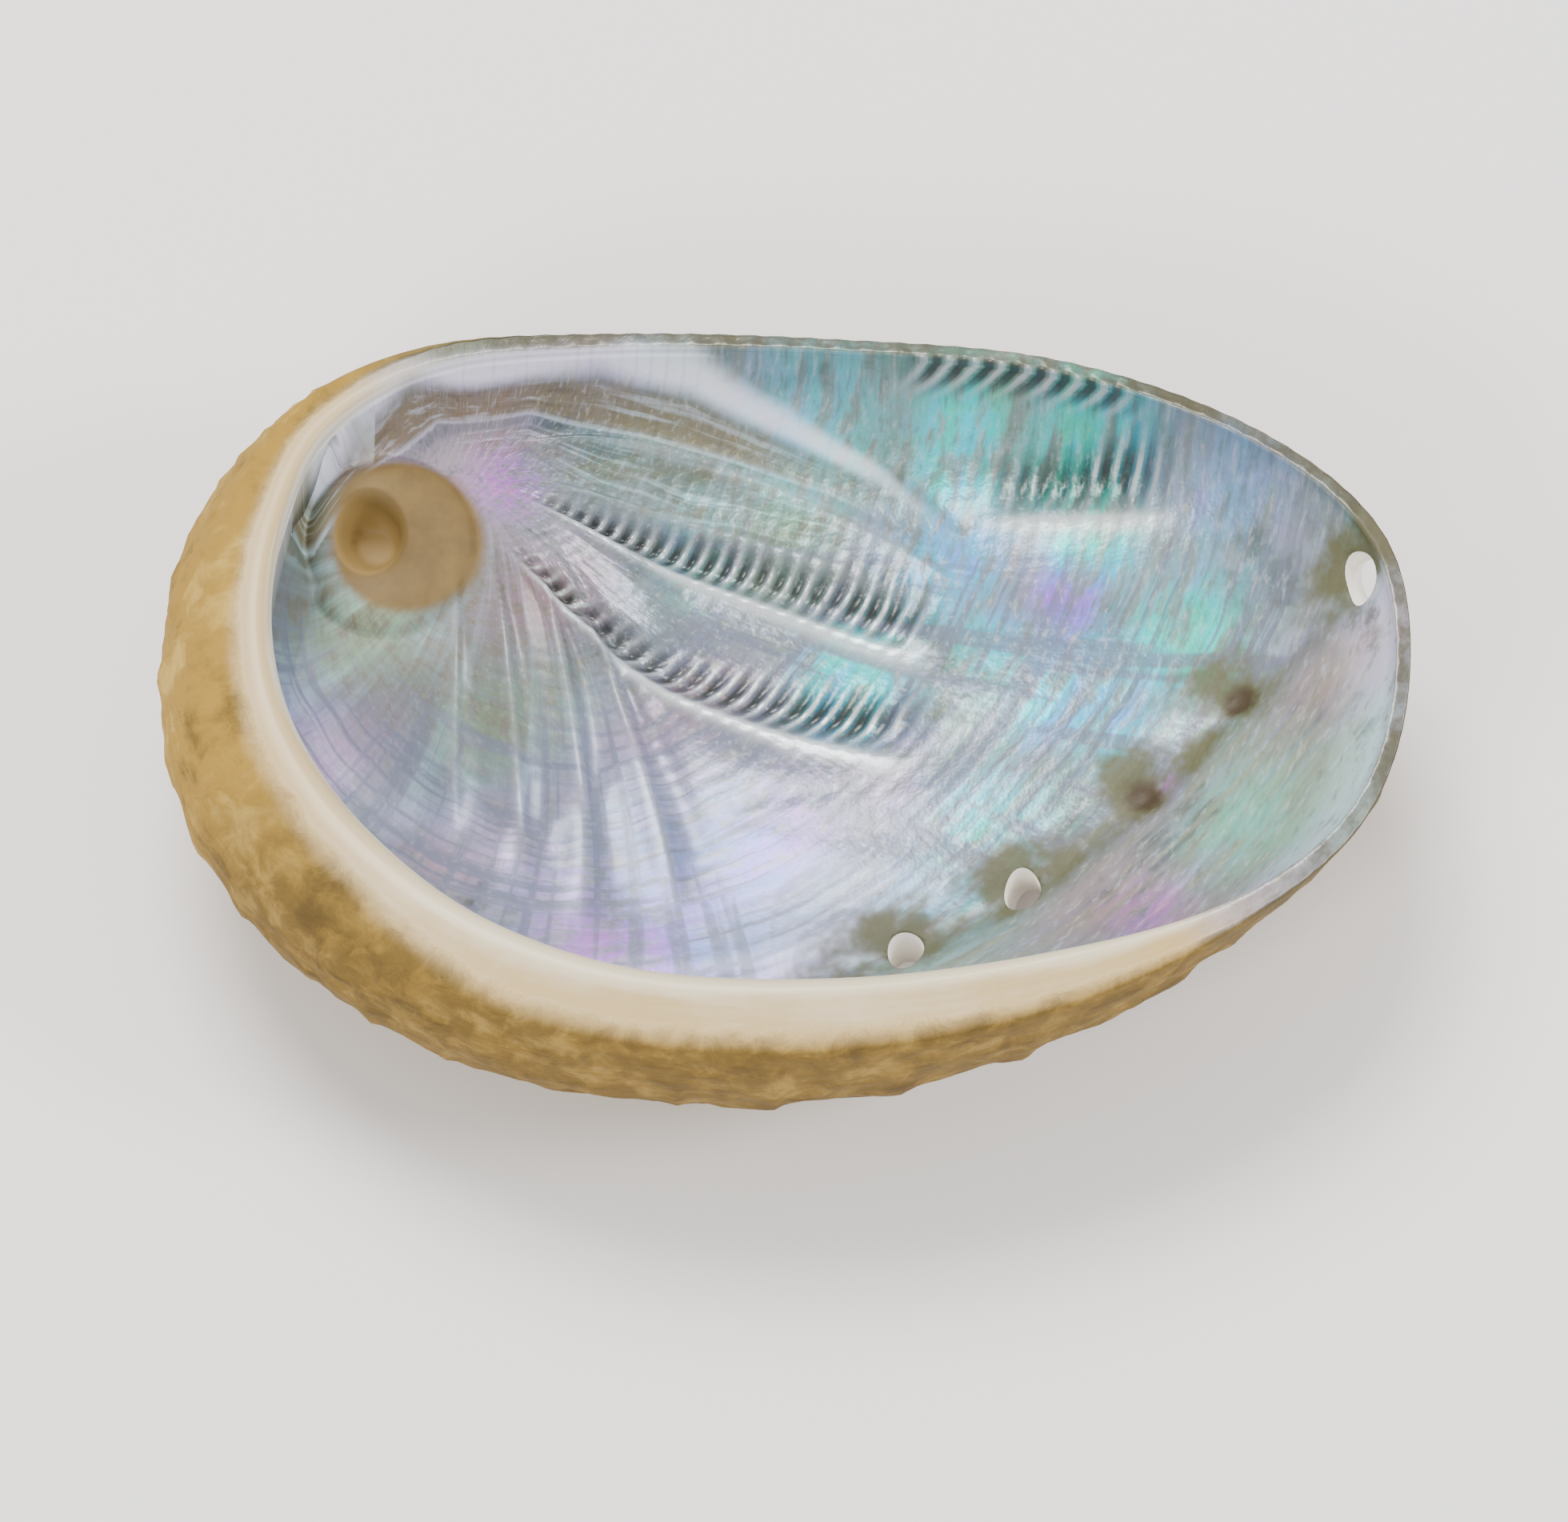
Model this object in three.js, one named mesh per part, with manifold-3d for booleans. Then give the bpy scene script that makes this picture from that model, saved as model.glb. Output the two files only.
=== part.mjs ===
// A small ormer (abalone) shell lying on its back, mouth up: one grown piece.
// Millimetres, +Z up, +X from the spire end to the front end, -Y on the side of the broad inner lip.
import * as THREE from 'three';
import { mergeVertices } from 'three/addons/utils/BufferGeometryUtils.js';
import Module from 'manifold-3d';

// Driving dimensions. Plan positions are measured from the spire's axis.
// Each row of the rim is a point of the mouth's edge: x, y, width of the lip there,
// how far the wall below it bulges out, how full the wall is, and how far the lip is undercut.
const rim = [
  [-2.7, 3.3, 1.6, 1.0, 2.1, 0.0],
  [-5.0, -0.8, 2.0, 1.6, 2.2, 0.0],
  [-6.0, -6.0, 2.5, 1.9, 2.4, 0.3],
  [-5.4, -11.3, 3.2, 1.7, 2.5, 0.9],
  [-2.6, -16.3, 3.6, 1.3, 2.6, 1.1],
  [2.4, -20.3, 3.4, 0.8, 2.7, 1.1],
  [9.0, -22.5, 3.1, 0.4, 2.7, 1.1],
  [17.0, -22.8, 3.0, 0.2, 2.6, 1.0],
  [24.8, -21.0, 2.3, 0.0, 2.3, 0.7],
  [31.0, -17.7, 1.0, 0.0, 1.9, 0.2],
  [35.2, -13.6, 0.7, 0.0, 1.6, 0.0],
  [36.8, -8.0, 0.6, 0.0, 1.5, 0.0],
  [36.0, -2.2, 0.6, 0.0, 1.6, 0.0],
  [31.6, 2.1, 0.6, 0.0, 1.7, 0.0],
  [24.5, 5.0, 0.6, 0.0, 1.8, 0.0],
  [16.0, 5.9, 0.6, 0.0, 1.85, 0.0],
  [8.0, 6.1, 0.7, 0.0, 1.9, 0.0],
  [1.8, 5.6, 1.0, 0.4, 2.0, 0.0],
];
const depth = 10.6; // from the rim down to the lowest point of the back
const floorThickness = 1.2;
const wallThickness = 1.6;
const back = { x: 11.5, y: -8.5 }; // plan position of the deepest point
const flatDepth = 0.3; // how much of the back is worn flat where the shell rests

// The well of the early whorls, and the ring that turns round it.
const well = { x: -0.25, y: -0.2, radius: 1.35, floor: -4.9 };
const ring = { x: 0.4, y: -0.4, radius: 2.9, top: -2.6, bottom: -4.2, crown: 0.12, flank: 0.45 };
const apron = { reach: 8, step: 0.35 }; // the floor climbs to the ring, and ends just below it

// Folds that fan out over the floor: each is a crest with a trough on its upper side.
// Bearing of the crest in degrees at the reference distance from the fan's centre, how many degrees
// it turns as the natural log of the distance grows by one, crest height, trough depth, where the
// fold begins and ends, and its spread.
const fan = { x: 3.0, y: 2.2, reference: 8, below: 4.0, above: 2.2, troughAt: 5.5, troughWidth: 3.6 };
const folds = [
  [-15.4, -3, 0.24, 0.5, 2, 18.5, 1],
  [-42, 15, 0.24, 0.5, 2.5, 19, 1],
  [-47, -20, 0.25, 0.18, 3, 17, 0.8],
  [1, -4, 0.12, 0.3, 18, 26.5, 0.6],
  [12.2, -4, 0.1, 0.22, 14.5, 26, 0.4],
  [-3.5, -9, 0.15, 0, 2, 19, 0.8],
  [9.5, -22, 0.22, 0.16, 2, 20, 1],
  [25, -36, 0.22, 0.16, 3, 19, 1.2],
  [-60, -20, 0.2, 0.12, 3, 17, 0.8],
  [-76, -8, 0.18, 0.12, 2, 15, 0.8],
  [-91, 0, 0.15, 0.1, 2, 13, 0.9],
];

// The keel is a spiral that carries the pores. Each open pore is given by its azimuth and radius;
// the other pores of the row are closed, two of them so lately that a dimple is left inside.
const keel = { radius: 31.7, at: -11, growth: 0.62, flare: 0.06, halfWidth: 1.2, height: 0.55 };
const poreUpright = 0.7; // how much a pore leans from square to the wall towards upright
const openPores = [
  [-5.2, 0.75],
  [-28.3, 0.66],
  [-37.3, 0.64],
];
const dimples = [-11.4, -18.8];
const closedPores = [-11.4, -18.8, -49, -62, -78, -97, -119, -144, -172, -203];
const dimple = { reach: 0.7, depth: 0.3 };
const tubercle = { reach: 1.7, height: 0.55 };

// The spire seen from outside: a low knob with the suture winding into it.
const knob = { height: 1.3, reach: 3.6 };
const suture = { radius: 4.2, from: 117, tightening: 0.3, turns: 1.4, depth: 0.4, halfWidth: 0.16 };

// How finely the form is divided.
const stations = 90;
const wellRows = [0.45, 0.86];
const ringRows = [0.25, 0.65];
const floorRows = 18;
const floorCrowding = 1.5;
const backRows = 16;
const curveSamples = 40; // along each span of the rim

const degree = Math.PI / 180;
const clamp = THREE.MathUtils.clamp;
const lerp = THREE.MathUtils.lerp;

function smooth(x, low, high) {
  return THREE.MathUtils.smoothstep(x, low, high);
}

function bump(x) {
  return Math.exp(-x * x);
}

// One point of the closed curve through the rim's rows, all six values at once.
function rimAt(place) {
  const count = rim.length;
  const whole = Math.floor(place);
  const t = place - whole;
  const rows = [-1, 0, 1, 2].map((k) => rim[(whole + k + count) % count]);
  const weights = [
    (-t + 2 * t * t - t * t * t) / 2,
    (2 - 5 * t * t + 3 * t * t * t) / 2,
    (t + 4 * t * t - 3 * t * t * t) / 2,
    (-t * t + t * t * t) / 2,
  ];
  return rows[0].map((_, column) => rows.reduce((sum, row, k) => sum + weights[k] * row[column], 0));
}

// The rim at equal steps along its length, with its outward direction in plan.
function rimStations() {
  const samples = rim.length * curveSamples;
  const dense = Array.from({ length: samples + 1 }, (_, i) => rimAt((i % samples) / curveSamples));
  const travelled = [0];
  for (let i = 1; i <= samples; i++) {
    const step = Math.hypot(dense[i][0] - dense[i - 1][0], dense[i][1] - dense[i - 1][1]);
    travelled.push(travelled[i - 1] + step);
  }
  const found = [];
  let i = 0;
  for (let j = 0; j < stations; j++) {
    const goal = (travelled[samples] * j) / stations;
    while (travelled[i + 1] < goal) i++;
    const t = (goal - travelled[i]) / (travelled[i + 1] - travelled[i]);
    const row = dense[i].map((value, column) => lerp(value, dense[i + 1][column], t));
    const [x, y, width, bulge, fullness, tuck] = row;
    const along = Math.hypot(dense[i + 1][0] - dense[i][0], dense[i + 1][1] - dense[i][1]);
    const nx = (dense[i + 1][1] - dense[i][1]) / along;
    const ny = -(dense[i + 1][0] - dense[i][0]) / along;
    found.push({ x, y, width, bulge: Math.max(0, bulge), fullness, tuck: Math.max(0, tuck), nx, ny });
  }
  return found;
}

const edge = rimStations();

// The inner wall as seen from the deepest point: bearing, distance and fullness, in order of bearing.
const wall = edge
  .map((s) => {
    const inset = Math.min(s.width, wallThickness);
    const dx = s.x - inset * s.nx - back.x;
    const dy = s.y - inset * s.ny - back.y;
    return { bearing: Math.atan2(dy, dx), reach: Math.hypot(dx, dy), fullness: s.fullness };
  })
  .sort((a, b) => a.bearing - b.bearing);

function wallToward(bearing) {
  let next = wall.findIndex((w) => w.bearing > bearing);
  if (next < 0) next = 0;
  const a = wall[(next + wall.length - 1) % wall.length];
  const b = wall[next];
  const turn = 2 * Math.PI;
  const span = (b.bearing - a.bearing + turn) % turn;
  const t = ((bearing - a.bearing + turn) % turn) / span;
  return { reach: lerp(a.reach, b.reach, t), fullness: lerp(a.fullness, b.fullness, t) };
}

// Folds seen from one centre, each measured by the angle from its own crest line.
function foldHeight(x, y) {
  const dx = x - fan.x;
  const dy = y - fan.y;
  const away = Math.max(0.05, Math.hypot(dx, dy));
  const bearing = Math.atan2(dy, dx) / degree;
  return folds.reduce((sum, [angle, curl, crest, trough, from, to, spread]) => {
    const across = (bearing - angle - curl * Math.log(away / fan.reference)) / spread;
    const ridge = bump(across / (across < 0 ? fan.below : fan.above));
    const valley = bump((across - fan.troughAt) / fan.troughWidth);
    const reach = smooth(away, from, from + 3) * (1 - smooth(away, to - 3, to));
    return sum + (crest * ridge - trough * valley) * reach;
  }, 0);
}

function keelRadius(azimuth) {
  const plain = keel.radius * Math.exp(keel.growth * (azimuth - keel.at) * degree);
  return plain * (1 + keel.flare * smooth(azimuth, keel.at, keel.at + 8));
}

function keelPoint(azimuth) {
  const r = keelRadius(azimuth);
  return [r * Math.cos(azimuth * degree), r * Math.sin(azimuth * degree)];
}

function keelHeight(x, y) {
  let azimuth = Math.atan2(y, x) / degree;
  if (azimuth > 90) azimuth -= 360;
  const radius = keelRadius(azimuth);
  const off = (Math.hypot(x, y) - radius) / Math.min(keel.halfWidth, 0.2 * radius);
  return keel.height * bump(off) * smooth(radius, 2, 6);
}

function dimpleDepth(x, y) {
  return dimples.reduce((sum, azimuth) => {
    const [px, py] = keelPoint(azimuth);
    return sum + dimple.depth * bump(Math.hypot(x - px, y - py) / dimple.reach);
  }, 0);
}

function tubercleHeight(x, y) {
  const all = [...openPores.map((p) => p[0]), ...closedPores];
  return all.reduce((sum, azimuth) => {
    const [px, py] = keelPoint(azimuth);
    const reach = tubercle.reach * Math.min(1, keelRadius(azimuth) / 20);
    return sum + tubercle.height * Math.min(1, reach) * bump(Math.hypot(x - px, y - py) / reach);
  }, 0);
}

// The groove of the suture, a spiral that tightens towards the apex.
function sutureDepth(x, y) {
  const r = Math.max(0.01, Math.hypot(x, y));
  const azimuth = Math.atan2(y, x) / degree;
  let deepest = 0;
  for (let turn = 0; turn <= suture.turns; turn++) {
    const wound = ((suture.from - azimuth + 360) % 360) + 360 * turn;
    const radius = suture.radius * Math.exp(-suture.tightening * wound * degree);
    const off = (r / radius - 1) / suture.halfWidth;
    deepest = Math.max(deepest, suture.depth * bump(off) * Math.min(1, radius / 1.5));
  }
  return deepest;
}

function floorHeight(x, y) {
  const dx = x - back.x;
  const dy = y - back.y;
  const w = wallToward(Math.atan2(dy, dx));
  const q = clamp(Math.hypot(dx, dy) / w.reach, 0, 1);
  const bowl = -(depth - floorThickness) * Math.pow(1 - Math.pow(q, w.fullness), 1 / w.fullness);
  return ringHeight(x, y, bowl) + foldHeight(x, y) - 0.8 * keelHeight(x, y) - dimpleDepth(x, y);
}

// How far the ring's edge lies from the well's axis in one direction.
function ringReach(azimuth) {
  const dx = ring.x - well.x;
  const dy = ring.y - well.y;
  const ahead = dx * Math.cos(azimuth) + dy * Math.sin(azimuth);
  const aside = dx * Math.sin(azimuth) - dy * Math.cos(azimuth);
  return ahead + Math.sqrt(ring.radius ** 2 - aside ** 2);
}

// The ring stands above the floor round the well, highest on the side where the outer lip begins.
function ringHeight(x, y, around) {
  const dx = x - well.x;
  const dy = y - well.y;
  const azimuth = Math.atan2(dy, dx);
  const away = Math.hypot(dx, dy);
  const reach = ringReach(azimuth);
  const high = 0.5 + 0.5 * Math.cos(azimuth - 85 * degree);
  const crest = lerp(ring.bottom, ring.top, high);
  const t = clamp((away - well.radius) / (reach - well.radius), 0, 1);
  const plateau = crest + ring.crown * 4 * t * (1 - t) - 0.3 * t;
  if (away > well.radius) {
    const rise = lerp(crest - 0.3 - apron.step, around, smooth(away, reach, reach + apron.reach));
    const foot = Math.max(rise, around);
    return lerp(plateau, foot, smooth(away, reach, reach + ring.flank));
  }
  const slope = lerp(1.1, 0.35, 0.5 + 0.5 * Math.cos(azimuth - 45 * degree));
  return lerp(well.floor, crest, smooth(away, well.radius - slope, well.radius));
}

// From the floor's edge, up under the lip, over it and out to the rim.
function lipProfile(s) {
  const drop = 0.28 * s.width;
  const thick = 0.22 * s.width;
  const crown = 0.04 * s.width;
  const at = (inset, z) => [s.x - inset * s.nx, s.y - inset * s.ny, z];
  return [
    at(s.width - s.tuck, -drop - thick - 0.03),
    at(s.width - 0.02 * s.width, -drop - 0.6 * thick),
    at(0.97 * s.width, -0.5 * drop),
    at(0.8 * s.width, crown),
    at(0.45 * s.width, -0.02 * s.width),
    at(0, rimHeight(s)),
  ];
}

function rimHeight(s) {
  return -0.13 * s.width;
}

function floorProfile(s) {
  const foot = s.width - s.tuck;
  const ux = s.x - foot * s.nx;
  const uy = s.y - foot * s.ny;
  const dx = ux - well.x;
  const dy = uy - well.y;
  const far = Math.hypot(dx, dy);
  const lowest = -0.5 * s.width - 0.08;
  const reach = ringReach(Math.atan2(dy, dx));
  const near = reach + ring.flank;
  const radii = wellRows.map((share) => share * well.radius);
  radii.push(well.radius);
  for (const share of ringRows) radii.push(lerp(well.radius, reach, share));
  radii.push(reach);
  for (let i = 0; i < floorRows; i++) {
    const t = (Math.exp((floorCrowding * i) / (floorRows - 1)) - 1) / (Math.exp(floorCrowding) - 1);
    radii.push(lerp(near, far, t));
  }
  return radii.map((r, i) => {
    const x = well.x + (dx * r) / far;
    const y = well.y + (dy * r) / far;
    const z = floorHeight(x, y);
    return [x, y, i === radii.length - 1 ? Math.min(z, lowest) : z];
  });
}

// The back: a superellipse from the rim to the deepest point, bulging where the rim's row says so.
function backProfile(s) {
  const dx = s.x - back.x;
  const dy = s.y - back.y;
  const reach = Math.hypot(dx, dy);
  const start = rimHeight(s);
  const tall = depth + start;
  const found = [];
  for (let i = 1; i <= backRows; i++) {
    const turn = ((i / (backRows + 1)) * Math.PI) / 2;
    const q = Math.pow(Math.cos(turn), 2 / s.fullness);
    const down = Math.pow(Math.sin(turn), 2 / s.fullness);
    const out = (q * reach + 6.75 * s.bulge * down * (1 - down) * (1 - down)) / reach;
    const slopeOut = Math.pow(q, s.fullness - 1) / reach;
    const slopeDown = Math.pow(down, s.fullness - 1) / tall;
    const size = Math.hypot(slopeOut, slopeDown);
    const x = back.x + dx * out;
    const y = back.y + dy * out;
    const fade = smooth(down, 0, 0.25);
    const raised = fade * (keelHeight(x, y) + tubercleHeight(x, y) - sutureDepth(x, y));
    const spire = fade * knob.height * bump(Math.hypot(x, y) / knob.reach);
    const push = (raised + spire) / size;
    const z = start - tall * down - push * slopeDown + 0.8 * fade * foldHeight(x, y);
    found.push([x + (push * slopeOut * dx) / reach, y + (push * slopeOut * dy) / reach, z]);
  }
  return found;
}

// Two triangles for four corners, split along the diagonal that bends the surface less.
function quad(points, a, b, c, d) {
  const [va, vb, vc, vd] = [a, b, c, d].map((k) => new THREE.Vector3(...points[k]));
  const facing = (p, q, r) => new THREE.Triangle(p, q, r).getNormal(new THREE.Vector3());
  const alongAC = facing(va, vb, vc).dot(facing(va, vc, vd));
  const alongBD = facing(va, vb, vd).dot(facing(vb, vc, vd));
  return alongAC >= alongBD ? [a, b, c, a, c, d] : [a, b, d, b, c, d];
}

// One closed skin: rings of points from the well's floor out over the lip and round the back.
function shellSkin() {
  const columns = edge.map((s) => [...floorProfile(s), ...lipProfile(s), ...backProfile(s)]);
  const rows = columns[0].length;
  const points = [[well.x, well.y, well.floor]];
  for (let k = 0; k < rows; k++) for (const column of columns) points.push(column[k]);
  points.push([back.x, back.y, -depth]);
  const last = points.length - 1;
  const at = (k, j) => 1 + k * stations + (j % stations);
  const faces = [];
  for (let j = 0; j < stations; j++) {
    faces.push(0, at(0, j), at(0, j + 1));
    for (let k = 0; k < rows - 1; k++) {
      faces.push(...quad(points, at(k, j), at(k + 1, j), at(k + 1, j + 1), at(k, j + 1)));
    }
    faces.push(at(rows - 1, j), last, at(rows - 1, j + 1));
  }
  const geometry = new THREE.BufferGeometry();
  geometry.setAttribute('position', new THREE.Float32BufferAttribute(points.flat(), 3));
  geometry.setIndex(faces);
  return geometry;
}

const wasm = await Module();
wasm.setup();

function toSolid(geometry) {
  const bare = geometry.clone();
  bare.deleteAttribute('normal');
  bare.deleteAttribute('uv');
  const merged = mergeVertices(bare, 1e-5);
  const vertProperties = new Float32Array(merged.attributes.position.array);
  const triVerts = new Uint32Array(merged.index.array);
  return new wasm.Manifold(new wasm.Mesh({ numProp: 3, vertProperties, triVerts }));
}

function toGeometry(solid) {
  const mesh = solid.getMesh();
  const geometry = new THREE.BufferGeometry();
  geometry.setAttribute('position', new THREE.BufferAttribute(mesh.vertProperties, 3));
  geometry.setIndex(new THREE.BufferAttribute(mesh.triVerts, 1));
  return geometry;
}

// A pore is cut square to the wall, a little oval along the keel.
function poreCutter([azimuth, radius]) {
  const [x, y] = keelPoint(azimuth);
  const probe = 0.5;
  const z = floorHeight(x, y);
  const slopeX = (floorHeight(x + probe, y) - floorHeight(x - probe, y)) / (2 * probe);
  const slopeY = (floorHeight(x, y + probe) - floorHeight(x, y - probe)) / (2 * probe);
  const normal = new THREE.Vector3(-slopeX, -slopeY, 1).normalize();
  normal.z += poreUpright;
  normal.normalize();
  const cutter = new THREE.CylinderGeometry(radius * 1.15, radius * 0.9, 7, 12);
  cutter.scale(1, 1, 1.25);
  const turn = new THREE.Quaternion().setFromUnitVectors(new THREE.Vector3(0, 1, 0), normal);
  cutter.applyQuaternion(turn);
  cutter.translate(x, y, z);
  return toSolid(cutter);
}

function buildShell() {
  let solid = toSolid(shellSkin());
  for (const pore of openPores) solid = solid.subtract(poreCutter(pore));
  const table = new THREE.BoxGeometry(80, 80, 10);
  table.translate(back.x, back.y, flatDepth - depth - 5);
  return toGeometry(solid.subtract(toSolid(table)));
}

const form = buildShell();
form.computeBoundingBox();
const box = form.boundingBox;
form.translate(-(box.min.x + box.max.x) / 2, -(box.min.y + box.max.y) / 2, -box.min.z);
form.computeVertexNormals();

const nacre = new THREE.MeshStandardMaterial({ color: 0xbfc6c2, roughness: 0.25, metalness: 0.2 });
const shell = new THREE.Mesh(form, nacre);
shell.name = 'shell';

const ormer = new THREE.Group();
ormer.add(shell);

export default ormer;
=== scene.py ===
# An ormer shell on its back, mouth up, on a pale table.
import math
import bpy
import numpy as np
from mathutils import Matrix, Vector


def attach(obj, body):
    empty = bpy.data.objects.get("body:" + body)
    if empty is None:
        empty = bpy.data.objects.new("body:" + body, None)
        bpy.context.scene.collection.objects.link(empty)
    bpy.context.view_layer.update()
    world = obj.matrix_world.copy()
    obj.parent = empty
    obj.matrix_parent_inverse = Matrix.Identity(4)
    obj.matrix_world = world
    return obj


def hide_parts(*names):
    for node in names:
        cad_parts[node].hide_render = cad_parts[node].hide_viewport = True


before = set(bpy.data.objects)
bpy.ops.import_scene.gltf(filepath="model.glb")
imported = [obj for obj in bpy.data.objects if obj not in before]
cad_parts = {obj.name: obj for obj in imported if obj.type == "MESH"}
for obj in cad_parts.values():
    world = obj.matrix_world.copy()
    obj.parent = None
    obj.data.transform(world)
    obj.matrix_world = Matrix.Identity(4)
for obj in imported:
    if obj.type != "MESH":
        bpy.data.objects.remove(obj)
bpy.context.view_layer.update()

mm = 0.001
turn = 2 * math.pi


# A value at part t of the way from a to b.
def lerp(a, b, t):
    return a + (b - a) * t


# The smooth step: 0 below low, 1 above high, and 3t^2 - 2t^3 between.
def smooth(x, low, high):
    t = np.clip((x - low) / (high - low), 0, 1)
    return t * t * (3 - 2 * t)


# The bell: e to the power of minus x squared.
def bell(x):
    return np.exp(-x * x)


# Noise between 0 and 1: random values at whole numbers, blended smoothly between them.
def noise(x, y, z, seed=0):
    def value(i, j, k):
        n = i * 374761393 + j * 668265263 + k * 2147483647 + seed * 974634777
        n = (n ^ (n >> 13)) * 1274126177
        n = n ^ (n >> 16)
        return (n & 65535) / 65535

    i, j, k = (np.floor(v).astype(np.int64) for v in (x, y, z))
    u, v, w = (smooth(a - np.floor(a), 0, 1) for a in (x, y, z))
    total = 0
    for a in (0, 1):
        for b in (0, 1):
            for c in (0, 1):
                weight = (u if a else 1 - u) * (v if b else 1 - v) * (w if c else 1 - w)
                total = total + weight * value(i + a, j + b, k + c)
    return total


# A colour given as it looks on a screen, turned into the light it stands for: c to the power 2.2.
def seen(r, g, b):
    return (r ** 2.2, g ** 2.2, b ** 2.2)


# Brings an object into the scene.
def show(made):
    bpy.context.collection.objects.link(made)


# What can be changed of the shell, in mm and degrees. Plan positions are from the spire's axis.
# A row of the rim: x, y, lip width, bulge of the wall below, fullness of the wall, undercut.
shell = {
    "shift": (-14.631, 8.484, 10.300),
    "rim": [
        (-2.7, 3.3, 1.6, 1, 2.1, 0), (-5, -0.8, 2, 1.6, 2.2, 0),
        (-6, -6, 2.5, 1.9, 2.4, 0.3), (-5.4, -11.3, 3.2, 1.7, 2.5, 0.9),
        (-2.6, -16.3, 3.6, 1.3, 2.6, 1.1), (2.4, -20.3, 3.4, 0.8, 2.7, 1.1),
        (9, -22.5, 3.1, 0.4, 2.7, 1.1), (17, -22.8, 3, 0.2, 2.6, 1),
        (24.8, -21, 2.3, 0, 2.3, 0.7), (31, -17.7, 1, 0, 1.9, 0.2),
        (35.2, -13.6, 0.7, 0, 1.6, 0), (36.8, -8, 0.6, 0, 1.5, 0),
        (36, -2.2, 0.6, 0, 1.6, 0), (31.6, 2.1, 0.6, 0, 1.7, 0),
        (24.5, 5, 0.6, 0, 1.8, 0), (16, 5.9, 0.6, 0, 1.85, 0),
        (8, 6.1, 0.7, 0, 1.9, 0), (1.8, 5.6, 1, 0.4, 2, 0),
    ],
    "pointsPerSpan": 60, "tangentReach": 0.1, "rimFall": 0.13,
    "depth": 10.6, "floorThickness": 1.2, "wallThickness": 1.6, "back": (11.5, -8.5), "flatDepth": 0.3,
    "well": (-0.25, -0.2), "wellRadius": 1.35, "wellFloor": -4.9,
    "ring": (0.4, -0.4), "ringRadius": 2.9, "ringTop": -2.6, "ringBottom": -4.2, "ringCrown": 0.12,
    "ringFlank": 0.45, "ringSag": 0.3, "ringCrestBearing": 85, "apronReach": 8, "apronStep": 0.35,
    "wellSlopes": (1.1, 0.35), "wellSlopeBearing": 45,
    "keelRadius": 31.7, "keelAt": -11, "keelGrowth": 0.62, "keelFlare": 0.06, "keelFlareWithin": 8,
    "keelWidth": 1.2, "keelHeight": 0.55, "keelShareInside": 0.8, "foldShareOutside": 0.8,
    "openPores": [(-5.2, 0.75), (-28.3, 0.66), (-37.3, 0.64)], "poreUpright": 0.7,
    "postSides": 28, "postReach": 3.5, "postOval": 1.25, "postWobble": 0.04, "postEnds": (0.9, 1.15),
    "dimples": [-11.4, -18.8], "dimpleReach": 0.7, "dimpleDepth": 0.3,
    "closedPores": [-11.4, -18.8, -49, -62, -78, -97, -119, -144, -172, -203],
    "tubercleReach": 1.7, "tubercleHeight": 0.55,
    "knobHeight": 1.3, "knobReach": 3.6,
    "sutureRadius": 4.2, "sutureFrom": 117, "sutureTightening": 0.3, "sutureTurns": 2, "sutureDepth": 0.4,
    "sutureWidth": 0.16,
    "fan": (3, 2.2), "fanReference": 8,
    # bearing at the reference, its turn as the natural log of the distance grows by one, crest, trough,
    # beginning, end, strength of the teeth, spread
    "folds": [
        (-15.4, -3, 0.24, 0.5, 2, 18.5, 1, 1),
        (-42, 15, 0.24, 0.5, 2.5, 19, 1, 1),
        (-47, -20, 0.25, 0.18, 3, 17, 0.1, 0.8),
        (1, -4, 0.12, 0.3, 18, 26.5, 1, 0.6),
        (12.2, -4, 0.1, 0.22, 14.5, 26, 0.35, 0.4),
        (-3.5, -9, 0.15, 0, 2, 19, 0, 0.8),
        (9.5, -22, 0.22, 0.16, 2, 20, 0, 1),
        (25, -36, 0.22, 0.16, 3, 19, 0, 1.2),
        (-60, -20, 0.2, 0.12, 3, 17, 0, 0.8),
        (-76, -8, 0.18, 0.12, 2, 15, 0, 0.8),
        (-91, 0, 0.15, 0.1, 2, 13, 0, 0.9),
    ],
    "crestWidth": (4, 1.6), "paleCrestWidth": (1.5, 0.9), "troughAt": 5.5, "troughWidth": 3.6,
    "foldFade": 3,
    "cordSpacing": 0.78, "cordGrowth": 0.3, "cordHeight": 0.003, "toothHeight": 0.11,
    "cordWander": 0.22, "cordWanderReach": 1.1, "backCordSpacing": 1, "backCordHeight": 0.16,
    "beadsPerRadian": 34, "beadWander": 9, "beadWanderReach": 4, "crustHeight": 0.14,
    "lamellaStep": 10, "lamellaSweep": 0.35, "lamellaHeight": 0.16, "lamellaWander": 0.5,
    "lamellaWanderReach": 3.5,
    "stations": 360, "wellRows": 8, "ringRows": 10, "flankRows": 3, "floorRows": 150, "floorCrowding": 0.5,
    "lipRows": 24, "backRows": 62, "edgeRipple": 0.07, "edgeRippleSpacing": 1.05,
}


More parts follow.
